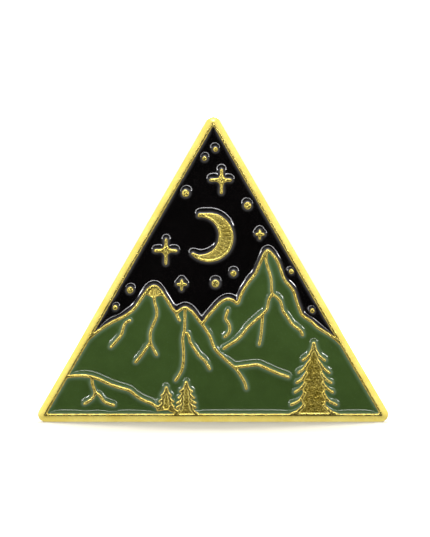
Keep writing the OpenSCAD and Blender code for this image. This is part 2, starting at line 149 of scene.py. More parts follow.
def value_noise(p, period, which=0):
    """Smooth noise from 0 to 1 at flat points p, with cells of the given period in mm."""
    lattice = LATTICES[which]
    n = len(lattice)
    q = p / period + 1000.0
    i = np.floor(q).astype(int)
    f = q - i
    f = f * f * (3 - 2 * f)
    a, b = i[:, 0] % n, i[:, 1] % n
    a1, b1 = (a + 1) % n, (b + 1) % n
    low = lattice[a, b] * (1 - f[:, 0]) + lattice[a1, b] * f[:, 0]
    high = lattice[a, b1] * (1 - f[:, 0]) + lattice[a1, b1] * f[:, 0]
    return low * (1 - f[:, 1]) + high * f[:, 1]


# ---------------------------------------------------------------- outlines from the CAD

def doubled_areas(points, tri):
    """Twice each triangle's area, positive where it is anticlockwise."""
    a, b, c = (points[tri[:, k]] for k in range(3))
    return (b[:, 0] - a[:, 0]) * (c[:, 1] - a[:, 1]) - (b[:, 1] - a[:, 1]) * (c[:, 0] - a[:, 0])


def cap(node, height):
    """Welded flat points and triangles of a node's faces at that height that face the viewer,
    or the back where the height is 0."""
    mesh = NODES[node].data
    co = np.zeros(len(mesh.vertices) * 3)
    mesh.vertices.foreach_get("co", co)
    co = co.reshape(-1, 3) * MM
    mesh.calc_loop_triangles()
    tri = np.zeros(len(mesh.loop_triangles) * 3, int)
    mesh.loop_triangles.foreach_get("vertices", tri)
    tri = tri.reshape(-1, 3)
    flat = np.all(np.abs(co[tri][:, :, 1] + height) < CAP_LEVEL_ERROR, axis=1)
    tri = tri[flat]
    points = co[:, [0, 2]]
    keys, inverse = np.unique(np.round(points, 4), axis=0, return_inverse=True)
    tri = inverse.reshape(-1)[tri]
    # One turn for all of them: a thin triangle's own sign can be wrong after the rounding
    if doubled_areas(keys, tri).sum() < 0:
        tri = tri[:, ::-1]
    a, b, c = tri.T
    return keys, tri[(a != b) & (b != c) & (c != a)]


def components(tri):
    """The triangles' connected groups, as a list of index arrays."""
    parent = {}

    def root(v):
        while parent.setdefault(v, v) != v:
            parent[v] = parent[parent[v]]
            v = parent[v]
        return v

    for a, b, c in tri:
        parent[root(a)] = root(b)
        parent[root(b)] = root(c)
    roots = np.array([root(t[0]) for t in tri])
    return [np.nonzero(roots == r)[0] for r in np.unique(roots)]


def loops_of(points, tri):
    """Closed outlines of a set of triangles, outer ones anticlockwise and holes clockwise."""
    directed = {}
    for t in tri:
        for i in range(3):
            directed[(int(t[i]), int(t[(i + 1) % 3]))] = True
    after = {}
    for a, b in directed:
        if (b, a) not in directed:
            after.setdefault(a, []).append(b)
    loops = []
    while after:
        start = min(after)
        loop, here = [start], after[start].pop()
        if not after[start]:
            del after[start]
        while here != start and here in after:
            loop.append(here)
            ways = after[here]
            onward = ways.pop()
            if not ways:
                del after[here]
            here = onward
        if len(loop) > 2:
            loops.append(points[loop])
    return loops


def signed_area(loop):
    x, y = loop[:, 0], loop[:, 1]
    return 0.5 * float(np.sum(x * np.roll(y, -1) - np.roll(x, -1) * y))


def resampled(loop, step):
    """Even spacing along a closed loop."""
    ends = np.roll(loop, -1, axis=0)
    lengths = np.linalg.norm(ends - loop, axis=1)
    along = np.concatenate([[0], np.cumsum(lengths)])
    n = max(12, int(round(along[-1] / step)))
    at = np.arange(n) * along[-1] / n
    closed = np.vstack([loop, loop[:1]])
    return np.column_stack([np.interp(at, along, closed[:, k]) for k in (0, 1)])


def softened(loop, step=LOOP_STEP, rounds=5):
    """The loop with its drawn facets smoothed away and its corners slightly rounded."""
    p = resampled(loop, step)
    for _ in range(rounds):
        p = 0.5 * p + 0.25 * (np.roll(p, 1, axis=0) + np.roll(p, -1, axis=0))
    return p


def inside(points, loops):
    """Even-odd test of points against closed loops, done in thin horizontal bands."""
    band = 0.1
    a = np.vstack(loops)
    b = np.vstack([np.roll(l, -1, axis=0) for l in loops])
    low, high = np.minimum(a[:, 1], b[:, 1]), np.maximum(a[:, 1], b[:, 1])
    result = np.zeros(len(points), bool)
    rows = np.floor(points[:, 1] / band).astype(int)
    order = np.argsort(rows, kind="stable")
    starts = np.searchsorted(rows[order], np.unique(rows))
    for s, e in zip(starts, np.append(starts[1:], len(rows))):
        mine = order[s:e]
        row = rows[mine[0]]
        near = (low <= (row + 1) * band) & (high >= row * band)
        if not near.any():
            continue
        p, q = a[near], b[near]
        px, py = points[mine, 0][:, None], points[mine, 1][:, None]
        crosses = (p[:, 1] > py) != (q[:, 1] > py)
        dy = np.where(q[:, 1] == p[:, 1], 1.0, q[:, 1] - p[:, 1])
        at = p[:, 0] + (py - p[:, 1]) * (q[:, 0] - p[:, 0]) / dy
        result[mine] = (np.sum(crosses & (px < at), axis=1) % 2) == 1
    return result


class Walls:
    """Exact flat distances to a set of closed loops, stood up as walls for the search."""

    def __init__(self, loops):
        verts, polys = [], []
        for loop in loops:
            n, base = len(loop), len(verts)
            verts += [(x, y, -1.0) for x, y in loop] + [(x, y, 1.0) for x, y in loop]
            polys += [(base + i, base + (i + 1) % n, base + n + (i + 1) % n, base + n + i)
                      for i in range(n)]
        self.tree = BVHTree.FromPolygons(verts, polys)

    def distance(self, points, limit=FAR):
        find = self.tree.find_nearest
        out = np.full(len(points), limit)
        for i, (x, y) in enumerate(points):
            hit = find(Vector((x, y, 0.0)), limit)[3]
            if hit is not None:
                out[i] = hit
        return out


floor_points, floor_tri = cap("badge_plate", FLOOR)
back_points, back_tri = cap("badge_plate", 0.0)
ground_points, ground_tri = cap("badge_plate", GROUND_FACE)
OUTER = max(loops_of(back_points, back_tri), key=signed_area)
GROUNDS = [softened(l) for l in loops_of(ground_points, ground_tri)
           if abs(signed_area(l)) > SMALLEST_GROUND]

ENAMEL_NODES = ["sky_enamel", "mountain_enamel", "hill_enamel"]
enamel_loops = {n: loops_of(*cap(n, FLAT)) for n in ENAMEL_NODES}


# Each cell of the plate, with the enamel node that fills it: the one that holds most of the
# middles of its three biggest triangles
CELLS = []
for group in components(floor_tri):
    tri = floor_tri[group]
    size = np.abs(doubled_areas(floor_points, tri))
    if size.sum() / 2 < SMALLEST_CELL:
        continue
    a, b, c = (floor_points[tri[:, k]] for k in range(3))
    biggest = ((a + b + c) / 3)[np.argsort(size)[-3:]]
    votes = {n: int(inside(biggest, enamel_loops[n]).sum()) for n in ENAMEL_NODES}
    owner = max(votes, key=votes.get)
    loops = [softened(l) for l in loops_of(floor_points, tri)
             if abs(signed_area(l)) > SMALLEST_HOLE]
    CELLS.append((owner, loops))
CELL_LOOPS = [l for _, loops in CELLS for l in loops]

cell_walls = Walls(CELL_LOOPS)
outer_walls = Walls([OUTER])
ground_walls = Walls(GROUNDS)


# ---------------------------------------------------------------- enamel surface

GRID, GRID_MARGIN = 0.05, 0.5
grid_x0, grid_y0 = OUTER[:, 0].min() - GRID_MARGIN, OUTER[:, 1].min() - GRID_MARGIN
grid_w = int((OUTER[:, 0].max() + GRID_MARGIN - grid_x0) / GRID) + 1
grid_h = int((OUTER[:, 1].max() + GRID_MARGIN - grid_y0) / GRID) + 1
NEAR_CELLS = 3                            # grid cells each side of a wall with exact distances
BEHIND_WALL, HELD_BAND = -0.3, 0.07       # deepest distance behind a wall; fixed strip along it
SWEEPS, OVER_RELAX = 70, 1.75             # passes of the solver, and its over-relaxation


def solve_meniscus():
    """How far the enamel is drawn up over its flat level, from 1 at a wall to 0, on a grid."""
    gx, gy = np.meshgrid(np.arange(grid_w), np.arange(grid_h))
    points = np.column_stack([grid_x0 + gx.ravel() * GRID, grid_y0 + gy.ravel() * GRID])
    wet = inside(points, CELL_LOOPS)
    near = np.zeros((grid_h, grid_w), bool)
    for loop in CELL_LOOPS:
        i = np.round((loop[:, 0] - grid_x0) / GRID).astype(int)
        j = np.round((loop[:, 1] - grid_y0) / GRID).astype(int)
        near[j, i] = True
    for _ in range(NEAR_CELLS):
        near[1:] |= near[:-1]
        near[:-1] |= near[1:]
        near[:, 1:] |= near[:, :-1]
        near[:, :-1] |= near[:, 1:]
    near = near.ravel()
    sd = np.where(wet, FAR, BEHIND_WALL)
    d = cell_walls.distance(points[near], 1.0)
    sd[near] = np.where(wet[near], d, -d)
    sd = np.clip(sd, BEHIND_WALL, FAR)
    u = np.exp(-sd / CAPILLARY).reshape(grid_h, grid_w)
    free = (sd > HELD_BAND).reshape(grid_h, grid_w)
    pull = 4 + (GRID / CAPILLARY) ** 2
    parity = (np.add.outer(np.arange(grid_h), np.arange(grid_w)) % 2).astype(bool)
    for _ in range(SWEEPS):
        for colour in (parity, ~parity):
            mean = np.zeros_like(u)
            mean[1:-1, 1:-1] = (u[:-2, 1:-1] + u[2:, 1:-1] + u[1:-1, :-2] + u[1:-1, 2:]) / pull
            where = free & colour
            u[where] += OVER_RELAX * (mean[where] - u[where])
    for axis in (0, 1):
        u = 0.5 * u + 0.25 * (np.roll(u, 1, axis) + np.roll(u, -1, axis))
    return u


meniscus = solve_meniscus()
slope_y, slope_x = np.gradient(meniscus, GRID)


def sampled(field, points):
    """A grid field's values at flat points, blended between the grid's own."""
    x = np.clip((points[:, 0] - grid_x0) / GRID, 0, grid_w - 1.001)
    y = np.clip((points[:, 1] - grid_y0) / GRID, 0, grid_h - 1.001)
    i, j = x.astype(int), y.astype(int)
    fx, fy = x - i, y - j
    low = field[j, i] * (1 - fx) + field[j, i + 1] * fx
    high = field[j + 1, i] * (1 - fx) + field[j + 1, i + 1] * fx
    return low * (1 - fy) + high * fy


def waves(points):
    return WAVE_RISE * (value_noise(points, WAVE_PERIOD, 1) - 0.5)


def enamel_height(points):
    return FLAT + RISE * np.clip(sampled(meniscus, points), 0, 1) + waves(points)


def enamel_normal(points):
    e = NORMAL_STEP
    wx = (waves(points + [e, 0]) - waves(points - [e, 0])) / (2 * e)
    wy = (waves(points + [0, e]) - waves(points - [0, e])) / (2 * e)
    sx = RISE * sampled(slope_x, points) + wx
    sy = RISE * sampled(slope_y, points) + wy
    # Height grows along -Y, so the outward normal is (-slope_x, -1, -slope_z)
    n = np.column_stack([-sx, -np.ones(len(points)), -sy])
    return n / np.linalg.norm(n, axis=1)[:, None]


# ---------------------------------------------------------------- triangulation

def hex_grid(lo, hi, step):
    rows = np.arange(lo[1], hi[1], step * math.sqrt(3) / 2)
    out = []
    for k, y in enumerate(rows):
        x = np.arange(lo[0] + (k % 2) * step / 2, hi[0], step)
        out.append(np.column_stack([x, np.full(len(x), y)]))
    return np.vstack(out)


def graded_points(loops, walls, steps):
    """Points inside the loops, spaced by steps of (distance from the walls, spacing)."""
    every = np.vstack(loops)
    lo, hi = every.min(0), every.max(0)
    kept = []
    reach = 0.0
    for limit, step in steps:
        p = hex_grid(lo, hi, step)
        p = p[inside(p, loops)]
        d = walls.distance(p)
        kept.append(p[(d > max(reach, 0.5 * step)) & (d <= limit)])
        reach = limit
    return np.vstack(kept)


def without_stray(tri, thin, rings, count):
    """The triangles without the ones of no area that straight stretches of a loop leave just
    outside it. Each has a free edge that isn't on a loop, which no proper triangle has."""
    on_loop = np.sort(np.vstack([np.column_stack([r, np.roll(r, -1)]) for r in rings]), axis=1)
    on_loop = on_loop[:, 0] * count + on_loop[:, 1]
    while True:
        sides = np.sort(np.stack([tri, np.roll(tri, -1, axis=1)], axis=2), axis=2)
        keys = sides[:, :, 0] * count + sides[:, :, 1]
        _, which, uses = np.unique(keys.ravel(), return_inverse=True, return_counts=True)
        free = (uses[which.reshape(-1)] == 1).reshape(keys.shape) & ~np.isin(keys, on_loop)
        stray = thin & free.any(axis=1)
        if not stray.any():
            return tri
        tri, thin = tri[~stray], thin[~stray]


def triangulated(loops, extra, fixed=()):
    """Triangles inside the loops, through the extra points and along the fixed loops. Returns
    the flat points, the triangles, and each given point's index among the flat points, with
    the loops' own points first and in their order."""
    points = [tuple(map(float, p)) for l in loops for p in l]
    edges, base = [], 0
    for l in loops:
        n = len(l)
        edges += [(base + i, base + (i + 1) % n) for i in range(n)]
        base += n
    for l in fixed:
        n, start = len(l), len(points)
        points += [tuple(map(float, p)) for p in l]
        edges += [(start + i, start + (i + 1) % n) for i in range(n)]
    points += [tuple(map(float, p)) for p in extra]
    vectors = [Vector(p) for p in points]
    out, _, faces, origin, _, _ = delaunay_2d_cdt(vectors, edges, [], 0, 1e-6, True)
    flat = np.array([(v.x, v.y) for v in out])
    tri = np.array([f for f in faces if len(f) == 3], int)
    tri = tri[inside(flat[tri].mean(axis=1), loops)]
    where = np.full(len(points), -1)
    for k, ids in enumerate(origin):
        for i in ids:
            where[i] = k
    area = np.cross(flat[tri[:, 1]] - flat[tri[:, 0]], flat[tri[:, 2]] - flat[tri[:, 0]])
    tri = np.where((area < 0)[:, None], tri[:, ::-1], tri)
    rings, first = [], 0
    for l in loops:
        rings.append(where[first:first + len(l)])
        first += len(l)
    return flat, without_stray(tri, np.abs(area) < NO_AREA, rings, len(flat)), where


def place(points, height):
    """Positions in the CAD frame, in metres, of flat points at their heights."""
    h = np.broadcast_to(height, (len(points),))
    return np.column_stack([points[:, 0], -h, points[:, 1]]) / MM


def mesh_object(name, verts, faces, smooth=True, attributes=None):
    mesh = bpy.data.meshes.new(name)
    mesh.from_pydata([tuple(v) for v in verts], [], [tuple(map(int, f)) for f in faces])
    mesh.polygons.foreach_set("use_smooth", np.full(len(mesh.polygons), smooth))
    for key, values in (attributes or {}).items():
        layer = mesh.attributes.new(key, "FLOAT", "POINT")
        layer.data.foreach_set("value", np.asarray(values, np.float32))
    mesh.update()
    made = bpy.data.objects.new(name, mesh)
    bpy.context.scene.collection.objects.link(made)
    return made


def strips(upper, lower):
    """Quads between two closed rings of vertex indices of the same length."""
    n = len(upper)
    return [(upper[i], upper[(i + 1) % n], lower[(i + 1) % n], lower[i]) for i in range(n)]


def enamel_piece(name, owner):
    """A closed fill: top with its meniscus, sides against the walls, and a flat underside. Its one
    attribute is how far the enamel is drawn up, which the material turns into a paler band, partly
    painted reflection."""
    verts, faces, normals, shade = [], [], [], []
    count = 0
    for who, loops in CELLS:
        if who != owner:
            continue
        extra = graded_points(loops, cell_walls, ENAMEL_STEPS)
        flat, tri, where = triangulated(loops, extra)
        n = len(flat)
        top = place(flat, enamel_height(flat))
        base = place(flat, FLOOR)
        verts.append(top)
        verts.append(base)
        normals.append(enamel_normal(flat))
        normals.append(np.tile([0.0, 1.0, 0.0], (n, 1)))
        shade.append(np.clip(sampled(meniscus, flat), 0, 1))
        shade.append(np.zeros(n))
        faces += [tuple(count + t) for t in tri]
        faces += [tuple(count + n + t[::-1]) for t in tri]
        start = 0
        for l in loops:
            ring = where[start:start + len(l)]
            start += len(l)
            keep = [r for i, r in enumerate(ring) if r != ring[i - 1]]
            faces += [(count + b, count + a, count + n + a, count + n + b)
                      for a, b in zip(keep, keep[1:] + keep[:1])]
        count += 2 * n
    verts, normals = np.vstack(verts), np.vstack(normals)
    made = mesh_object(name, verts, faces, True, {"climb_sheen": np.concatenate(shade)})
    mesh = made.data
    corner_vertex = np.zeros(len(mesh.loops), int)
    mesh.loops.foreach_get("vertex_index", corner_vertex)
    corner_normals = normals[corner_vertex]
    for poly in mesh.polygons:
        # The sides are the only quads
        if len(poly.vertices) == 4:
            corner_normals[poly.loop_start:poly.loop_start + 4] = poly.normal
    mesh.normals_split_custom_set([tuple(v) for v in corner_normals])
    return made


# ---------------------------------------------------------------- struck metal

# Short grooves that fan out across the moon from the middle of its two horns
moon = max(GROUNDS, key=lambda l: l[:, 1].mean())
horn_a = moon[np.argmax(moon[:, 1] - 0.3 * moon[:, 0])]
horn_b = moon[np.argmin(moon[:, 1] + 0.6 * moon[:, 0])]
MOON_CENTRE = (horn_a + horn_b) / 2
MOON_SHADE = 0.72                         # how dark the moon's ground is between its grooves
RAY_DEPTH, RAY_HALF_W, RAY_END = 0.09, 0.07, 0.2
# Each is (direction in degrees, distance of its start, distance of its end)
MOON_RAYS = [(-44, 2.3, 3.3), (-33, 2.2, 3.7), (-24, 2.3, 3.5), (-15, 2.2, 3.8), (-7, 2.3, 3.7),
             (1, 2.3, 3.8), (9, 2.4, 3.6), (18, 2.3, 3.6), (28, 2.5, 3.4)]

# The snow cap on the left peak: its pleats fan out downwards from just above its top
peak = sorted(GROUNDS, key=lambda l: l[:, 1].mean())[-2]
peak_walls = Walls([peak])
PEAK_TOP = np.array([peak[:, 0].mean(), peak[:, 1].max() + 0.5])
PLEAT_PITCH, PLEAT_DEPTH, PLEAT_REACH = 0.5, 0.09, 0.16
PLEAT_SHADE, PLEAT_OVER_GROUND = 0.8, 0.75


def quarter_round(distance, width):
    """From 1 at distance 0 down to 0 at the width, along a quarter of a circle."""
    x = np.clip(1 - distance / width, 0, STEEPEST)
    return 1 - np.sqrt(1 - x * x)


def moon_rays(flat):
    """How deep in one of the moon's grooves each flat point is, from 0 to 1."""
    across = flat - MOON_CENTRE
    turn = np.degrees(np.arctan2(across[:, 1], across[:, 0]))
    out = np.linalg.norm(across, axis=1)
    rays = np.zeros(len(flat))
    for angle, start, end in MOON_RAYS:
        off = np.abs(np.radians(turn - angle)) * out
        rays = np.maximum(rays, np.clip(1 - off / RAY_HALF_W, 0, 1)
                          * smoothstep((out - start) / RAY_END)
                          * smoothstep((end - out) / RAY_END))
    return rays


def peak_pleats(flat):
    """How far in the snow cap each flat point is, and how deep in one of its pleats."""
    down = PEAK_TOP[1] - flat[:, 1]
    fan = (flat[:, 0] - PEAK_TOP[0]) / np.maximum(down, 0.3)
    beside = np.where(inside(flat, [peak]), 0, peak_walls.distance(flat, 0.5))
    in_peak = smoothstep((PLEAT_REACH - beside) / PLEAT_REACH)
    return in_peak, in_peak * (0.5 - 0.5 * np.cos(2 * math.pi * fan / PLEAT_PITCH))


def metal_height(flat, d_in, d_out, d_ground, in_ground):
    """The metal's height at flat points, and how much painted shade each gets from lying in a
    stippled ground or deep in a pleat. The distances are to the cells, the outer edge and the
    grounds' outlines."""
    rim = smoothstep((RIM_W + RIM_BLEND / 2 - d_out) / RIM_BLEND)
    drop = SHOULDER_DROP * quarter_round(d_in, SHOULDER_W + (RIM_INNER_W - SHOULDER_W) * rim)
    past = CREST_IN - d_out
    ramp = 0.5 * (past + np.sqrt(past * past + CREST_SOFT * CREST_SOFT)) - 0.5 * CREST_SOFT
    roll = np.where(past > -0.3, ROLL_SLOPE * np.maximum(ramp, 0), 0)
    roll = roll + ROLL_DROP * quarter_round(d_out, ROLL_EDGE)
    ground = np.where(in_ground, smoothstep(d_ground / GROUND_RAMP), 0)
    rays = moon_rays(flat) * ground
    in_peak, pleats = peak_pleats(flat)
    ground = ground * (1 - PLEAT_OVER_GROUND * in_peak)
    grain = ((value_noise(flat, GRAIN_COARSE, 0) - 0.5)
             + GRAIN_FINE_PART * (value_noise(flat, GRAIN_FINE, 2) - 0.5))
    peel = PEEL * (value_noise(flat, PEEL_PERIOD, 2) - 0.5)
    height = (TOP - drop - roll - ground * (GROUND_DEPTH - GRAIN * grain) + peel
              - RAY_DEPTH * rays - PLEAT_DEPTH * pleats)
    return height, np.maximum(ground, PLEAT_SHADE * pleats)


def struck_piece(name):
    """The plate as one closed mesh: relief front, cell floors, rolled edge and flat back. Its two
    attributes carry painted shade: the first along the cell walls, with a painted dark reflection
    along the rim's crest; the second, ground, over the stippled grounds, deepest in the moon's
    grooves and the cap's pleats."""
    outer = resampled(OUTER, OUTER_STEP)
    loops = [outer] + CELL_LOOPS
    extra = graded_points(loops, Walls(loops), METAL_STEPS)
    ground_extra = hex_grid(extra.min(0), extra.max(0), GROUND_STEP)
    ground_extra = ground_extra[inside(ground_extra, GROUNDS)]
    ground_extra = ground_extra[ground_walls.distance(ground_extra, 1.0) > GROUND_CLEAR]
    extra = extra[~inside(extra, GROUNDS)]
    extra = extra[ground_walls.distance(extra, 1.0) > GROUND_CLEAR]
    flat, tri, where = triangulated(loops, np.vstack([extra, ground_extra]), GROUNDS)
    d_in = cell_walls.distance(flat, 1.0)
    d_out = outer_walls.distance(flat, 2.0)
    on_outer = where[:len(outer)]
    d_out[on_outer] = 0.0
    height, ground = metal_height(flat, d_in, d_out, ground_walls.distance(flat, 1.0),
                                  inside(flat, GROUNDS))
    n = len(flat)
    verts = [place(flat, height)]
    faces = [tuple(t) for t in tri]
    # Painted shade along the cell walls, and a painted dark reflection along the rim's crest
    crest = np.exp(-((d_out - CREST_IN - CREST_REFLECTION_IN) / CREST_REFLECTION_W) ** 2)
    painted_shade = [np.maximum(np.exp(-d_in / SHADE_REACH), CREST_REFLECTION_DARK * crest)]
    # Painted shade over the stippled grounds: lighter between the moon's grooves, darkest in them
    groove = np.clip((TOP - GROUND_DEPTH - height) / RAY_DEPTH - 0.2, 0, 1)
    moon_shade = MOON_SHADE + (1 - MOON_SHADE) * groove
    grounds = [ground * np.where(inside(flat, [moon]), moon_shade, 1.0)]
    count = n
    # Cell walls and floors
    start = len(outer)
    rings = []
    for l in CELL_LOOPS:
        rings.append(where[start:start + len(l)])
        start += len(l)
    at = 0
    for _, cell in CELLS:
        floor_flat, floor_faces, floor_where = triangulated(cell, np.zeros((0, 2)))
        verts.append(place(floor_flat, FLOOR))
        painted_shade.append(np.ones(len(floor_flat)))
        grounds.append(np.zeros(len(floor_flat)))
        faces += [tuple(count + t) for t in floor_faces]
        first = 0
        for l in cell:
            low = count + floor_where[first:first + len(l)]
            first += len(l)
            up = rings[at]
            at += 1
            m = len(l)
            for i in range(m):
                j = (i + 1) % m
                if up[i] != up[j] and low[i] != low[j]:
                    faces.append((up[i], up[j], low[j], low[i]))
        count += len(floor_flat)
    # Outer wall down to a small bevel at the back
    m = len(outer)
    above = list(on_outer)
    outward = np.roll(outer, -1, axis=0) - np.roll(outer, 1, axis=0)
    outward = np.column_stack([outward[:, 1], -outward[:, 0]])
    outward /= np.linalg.norm(outward, axis=1)[:, None]
    for inset, level in BACK_BEVEL:
        ring = outer - outward * inset
        verts.append(place(ring, level))
        painted_shade.append(np.zeros(m))
        grounds.append(np.zeros(m))
        below = list(range(count, count + m))
        faces += [(b, a, d, c) for a, b, c, d in strips(above, below)]
        above = below
        count += m
    back_grid = hex_grid(ring.min(0), ring.max(0), BACK_STEP)
    back_flat, back_faces, back_where = triangulated([ring], back_grid)
    remap = np.full(len(back_flat), -1)
    remap[back_where[:m]] = above
    fresh = np.nonzero(remap < 0)[0]
    remap[fresh] = np.arange(count, count + len(fresh))
    verts.append(place(back_flat[fresh], 0.0))
    painted_shade.append(np.zeros(len(fresh)))
    grounds.append(np.zeros(len(fresh)))
    faces += [tuple(remap[t[::-1]]) for t in back_faces]
    made = mesh_object(name, np.vstack(verts), faces, True,
                       {"painted_shade": np.concatenate(painted_shade), "ground": np.concatenate(grounds)})
    made.data.set_sharp_from_angle(angle=math.radians(SHARP_ANGLE))
    return made


# ---------------------------------------------------------------- materials

class Nodes:
    """A short way to write a procedural material. Noise scales are in cells per millimetre."""

    def __init__(self, name):
        self.material = bpy.data.materials.new(name)
        self.material.use_nodes = True
        self.tree = self.material.node_tree
        self.bsdf = self.tree.nodes["Principled BSDF"]
        self.where = self.new("ShaderNodeTexCoord").outputs["Object"]
        self.mm = self.math_vector("SCALE", self.where, scale=MM)

    def new(self, kind, **settings):
        node = self.tree.nodes.new(kind)
        for key, value in settings.items():
            setattr(node, key, value)
        return node

    def put(self, socket, value):
        if hasattr(value, "is_output"):
            self.tree.links.new(value, socket)
        elif value is not None:
            socket.default_value = value

    def math_vector(self, operation, a, b=None, scale=None):
        node = self.new("ShaderNodeVectorMath", operation=operation)
        self.put(node.inputs[0], a)
        if b is not None:
            self.put(node.inputs[1], b)
        if scale is not None:
            self.put(node.inputs["Scale"], scale)
        return node.outputs[0]

    def math(self, operation, a, b=None, c=None):
        node = self.new("ShaderNodeMath", operation=operation)
        for socket, value in zip(node.inputs, (a, b, c)):
            self.put(socket, value)
        return node.outputs[0]

    def noise(self, scale, detail=3.0, rough=0.55, vector=None, stretch=None):
        source = vector or self.mm
        if stretch:
            source = self.math_vector("MULTIPLY", source, stretch)
        node = self.new("ShaderNodeTexNoise")
        self.put(node.inputs["Vector"], source)
        self.put(node.inputs["Scale"], scale)
        self.put(node.inputs["Detail"], detail)
        self.put(node.inputs["Roughness"], rough)
        return node.outputs["Fac"]

    def ramp(self, value, low, high, out_low=0.0, out_high=1.0):
        node = self.new("ShaderNodeMapRange", clamp=True)
        for key, v in (("Value", value), ("From Min", low), ("From Max", high),
                       ("To Min", out_low), ("To Max", out_high)):
            self.put(node.inputs[key], v)
        return node.outputs["Result"]

    def mix(self, factor, a, b):
        node = self.new("ShaderNodeMix", data_type="RGBA")
        self.put(node.inputs["Factor"], factor)
        self.put(node.inputs[6], a)
        self.put(node.inputs[7], b)
        return node.outputs[2]

    def attribute(self, name):
        return self.new("ShaderNodeAttribute", attribute_name=name).outputs["Fac"]

    def bump(self, height, strength, distance):
        node = self.new("ShaderNodeBump")
        self.put(node.inputs["Strength"], strength)
        self.put(node.inputs["Distance"], distance)
        self.put(node.inputs["Height"], height)
        self.put(self.bsdf.inputs["Normal"], node.outputs["Normal"])

    def finish(self, **inputs):
        for key, value in inputs.items():
            self.put(self.bsdf.inputs[key.replace("_", " ")], value)
        return self.material


def colour(r, g, b):
    return (r, g, b, 1.0)


def gold_material():
    """Polished gold plate with a worn tone, painted shade over the stippled grounds, and painted
    shade and reflection in dark brown specks along the walls and the rim's crest.
    """
    n = Nodes("gold_plate_worn")
    broad = n.noise(0.55, 4.0)
    fine = n.noise(7.0, 4.0, 0.6)
    grit = n.noise(22.0, 2.0, 0.6)
    base = n.mix(n.ramp(broad, 0.35, 0.65), colour(0.85, 0.68, 0.15), colour(0.94, 0.81, 0.23))
    base = n.mix(n.ramp(fine, 0.3, 0.75, 0.0, 0.4), base, colour(0.62, 0.44, 0.07))
    # Painted shade over the sunk stippled grounds and in the cap's pleats, broken into random
    # patches
    ground = n.attribute("ground")
    patches = n.ramp(n.noise(8.0, 2.0, 0.6), 0.36, 0.6, 0.62, 1.0)
    base = n.mix(n.math("MULTIPLY", ground, patches), base, colour(0.10, 0.075, 0.006))
    # Painted shade along the walls and a painted dark reflection along the rim's crest, broken up
    # in dark brown specks
    painted_shade = n.attribute("painted_shade")
    spots = n.ramp(n.noise(6.0, 3.0, 0.65), 0.36, 0.62, 0.15, 1.35)
    shade_specks = n.math("MULTIPLY", n.ramp(painted_shade, 0.25, 0.9), spots)
    base = n.mix(n.math("MINIMUM", shade_specks, 0.95), base, colour(0.13, 0.065, 0.018))
    rough = n.math("ADD", n.ramp(fine, 0.3, 0.7, 0.16, 0.30), n.math("MULTIPLY", ground, 0.1))
    relief = n.math("ADD", n.math("MULTIPLY", fine, 0.6), n.math("MULTIPLY", grit, 0.4))
    n.bump(relief, 0.35, 0.00002)
    return n.finish(Base_Color=base, Metallic=1.0, Roughness=rough)


def enamel_material(name, dark, light, edge, rough_low, coat_rough):
    """Glossy soft enamel, with faint clouds and specks, paler where it climbs a wall: partly the
    thin enamel's own paler tone, partly a painted reflection of the bright surroundings.
    """
    n = Nodes(name)
    cloud = n.noise(0.35, 3.0)
    speck = n.noise(9.0, 2.0, 0.7)
    base = n.mix(n.ramp(cloud, 0.3, 0.7), colour(*dark), colour(*light))
    base = n.mix(n.ramp(speck, 0.62, 0.8, 0.0, 0.5), base, colour(*edge))
    # The pale band up the walls: partly the enamel's thinner, paler tone, partly a painted
    # reflection of the bright surroundings
    climb_sheen = n.attribute("climb_sheen")
    base = n.mix(n.ramp(climb_sheen, 0.25, 0.95, 0.0, 0.6), base, colour(*edge))
    rough = n.ramp(n.noise(1.3, 4.0), 0.3, 0.7, rough_low, rough_low + 0.04)
    n.bump(n.noise(1.1, 2.0), 0.25, 0.00001)
    return n.finish(Base_Color=base, Roughness=rough, IOR=1.56, Coat_Weight=0.35,
                    Coat_Roughness=coat_rough)


def spun_material(name, light, dark, rings=True, rough_low=0.2, rough_high=0.36):
    """Plated sheet metal. The rings are the fine tool marks round each clutch's axis."""
    n = Nodes(name)
    split = n.new("ShaderNodeSeparateXYZ")
    n.put(split.inputs[0], n.mm)
    x, z = split.outputs["X"], split.outputs["Z"]
    away = n.math("SUBTRACT", n.math("ABSOLUTE", x), post_x)
    up = n.math("SUBTRACT", z, post_z)
    squares = n.math("ADD", n.math("MULTIPLY", away, away), n.math("MULTIPLY", up, up))
    radius = n.math("SQRT", squares)
    join = n.new("ShaderNodeCombineXYZ")
    n.put(join.inputs[0], radius)
    n.put(join.inputs[1], split.outputs["Y"])
    marks = n.noise(6.0, 5.0, 0.7, vector=join.outputs[0]) if rings else n.noise(3.0, 4.0, 0.6)
    cloud = n.noise(0.5, 4.0)
    grit = n.noise(14.0, 3.0, 0.65)
    base = n.mix(n.ramp(cloud, 0.3, 0.7), colour(*dark), colour(*light))
    base = n.mix(n.ramp(grit, 0.62, 0.78, 0.0, 0.4), base, colour(*(v * 0.5 for v in dark)))
    rough = n.ramp(n.math("ADD", n.math("MULTIPLY", marks, 0.6), n.math("MULTIPLY", grit, 0.4)),
                   0.3, 0.7, rough_low, rough_high)
    relief = n.math("ADD", n.math("MULTIPLY", marks, 0.8), n.math("MULTIPLY", grit, 0.2))
    n.bump(relief, 0.3, 0.00003)
    return n.finish(Base_Color=base, Metallic=1.0, Roughness=rough)


post_lo, post_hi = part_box("right_post")
post_x = (post_lo.x + post_hi.x) / 2 * MM
post_z = (post_lo.z + post_hi.z) / 2 * MM

GOLD = gold_material()
BLACK = enamel_material("black_enamel_gloss", (0.0010, 0.0008, 0.0009), (0.0018, 0.0015, 0.0017),
                        (0.010, 0.009, 0.010), 0.03, 0.04)
GREEN = enamel_material("green_enamel_gloss", (0.031, 0.059, 0.0135), (0.038, 0.072, 0.0175),
                        (0.078, 0.150, 0.074), 0.07, 0.08)

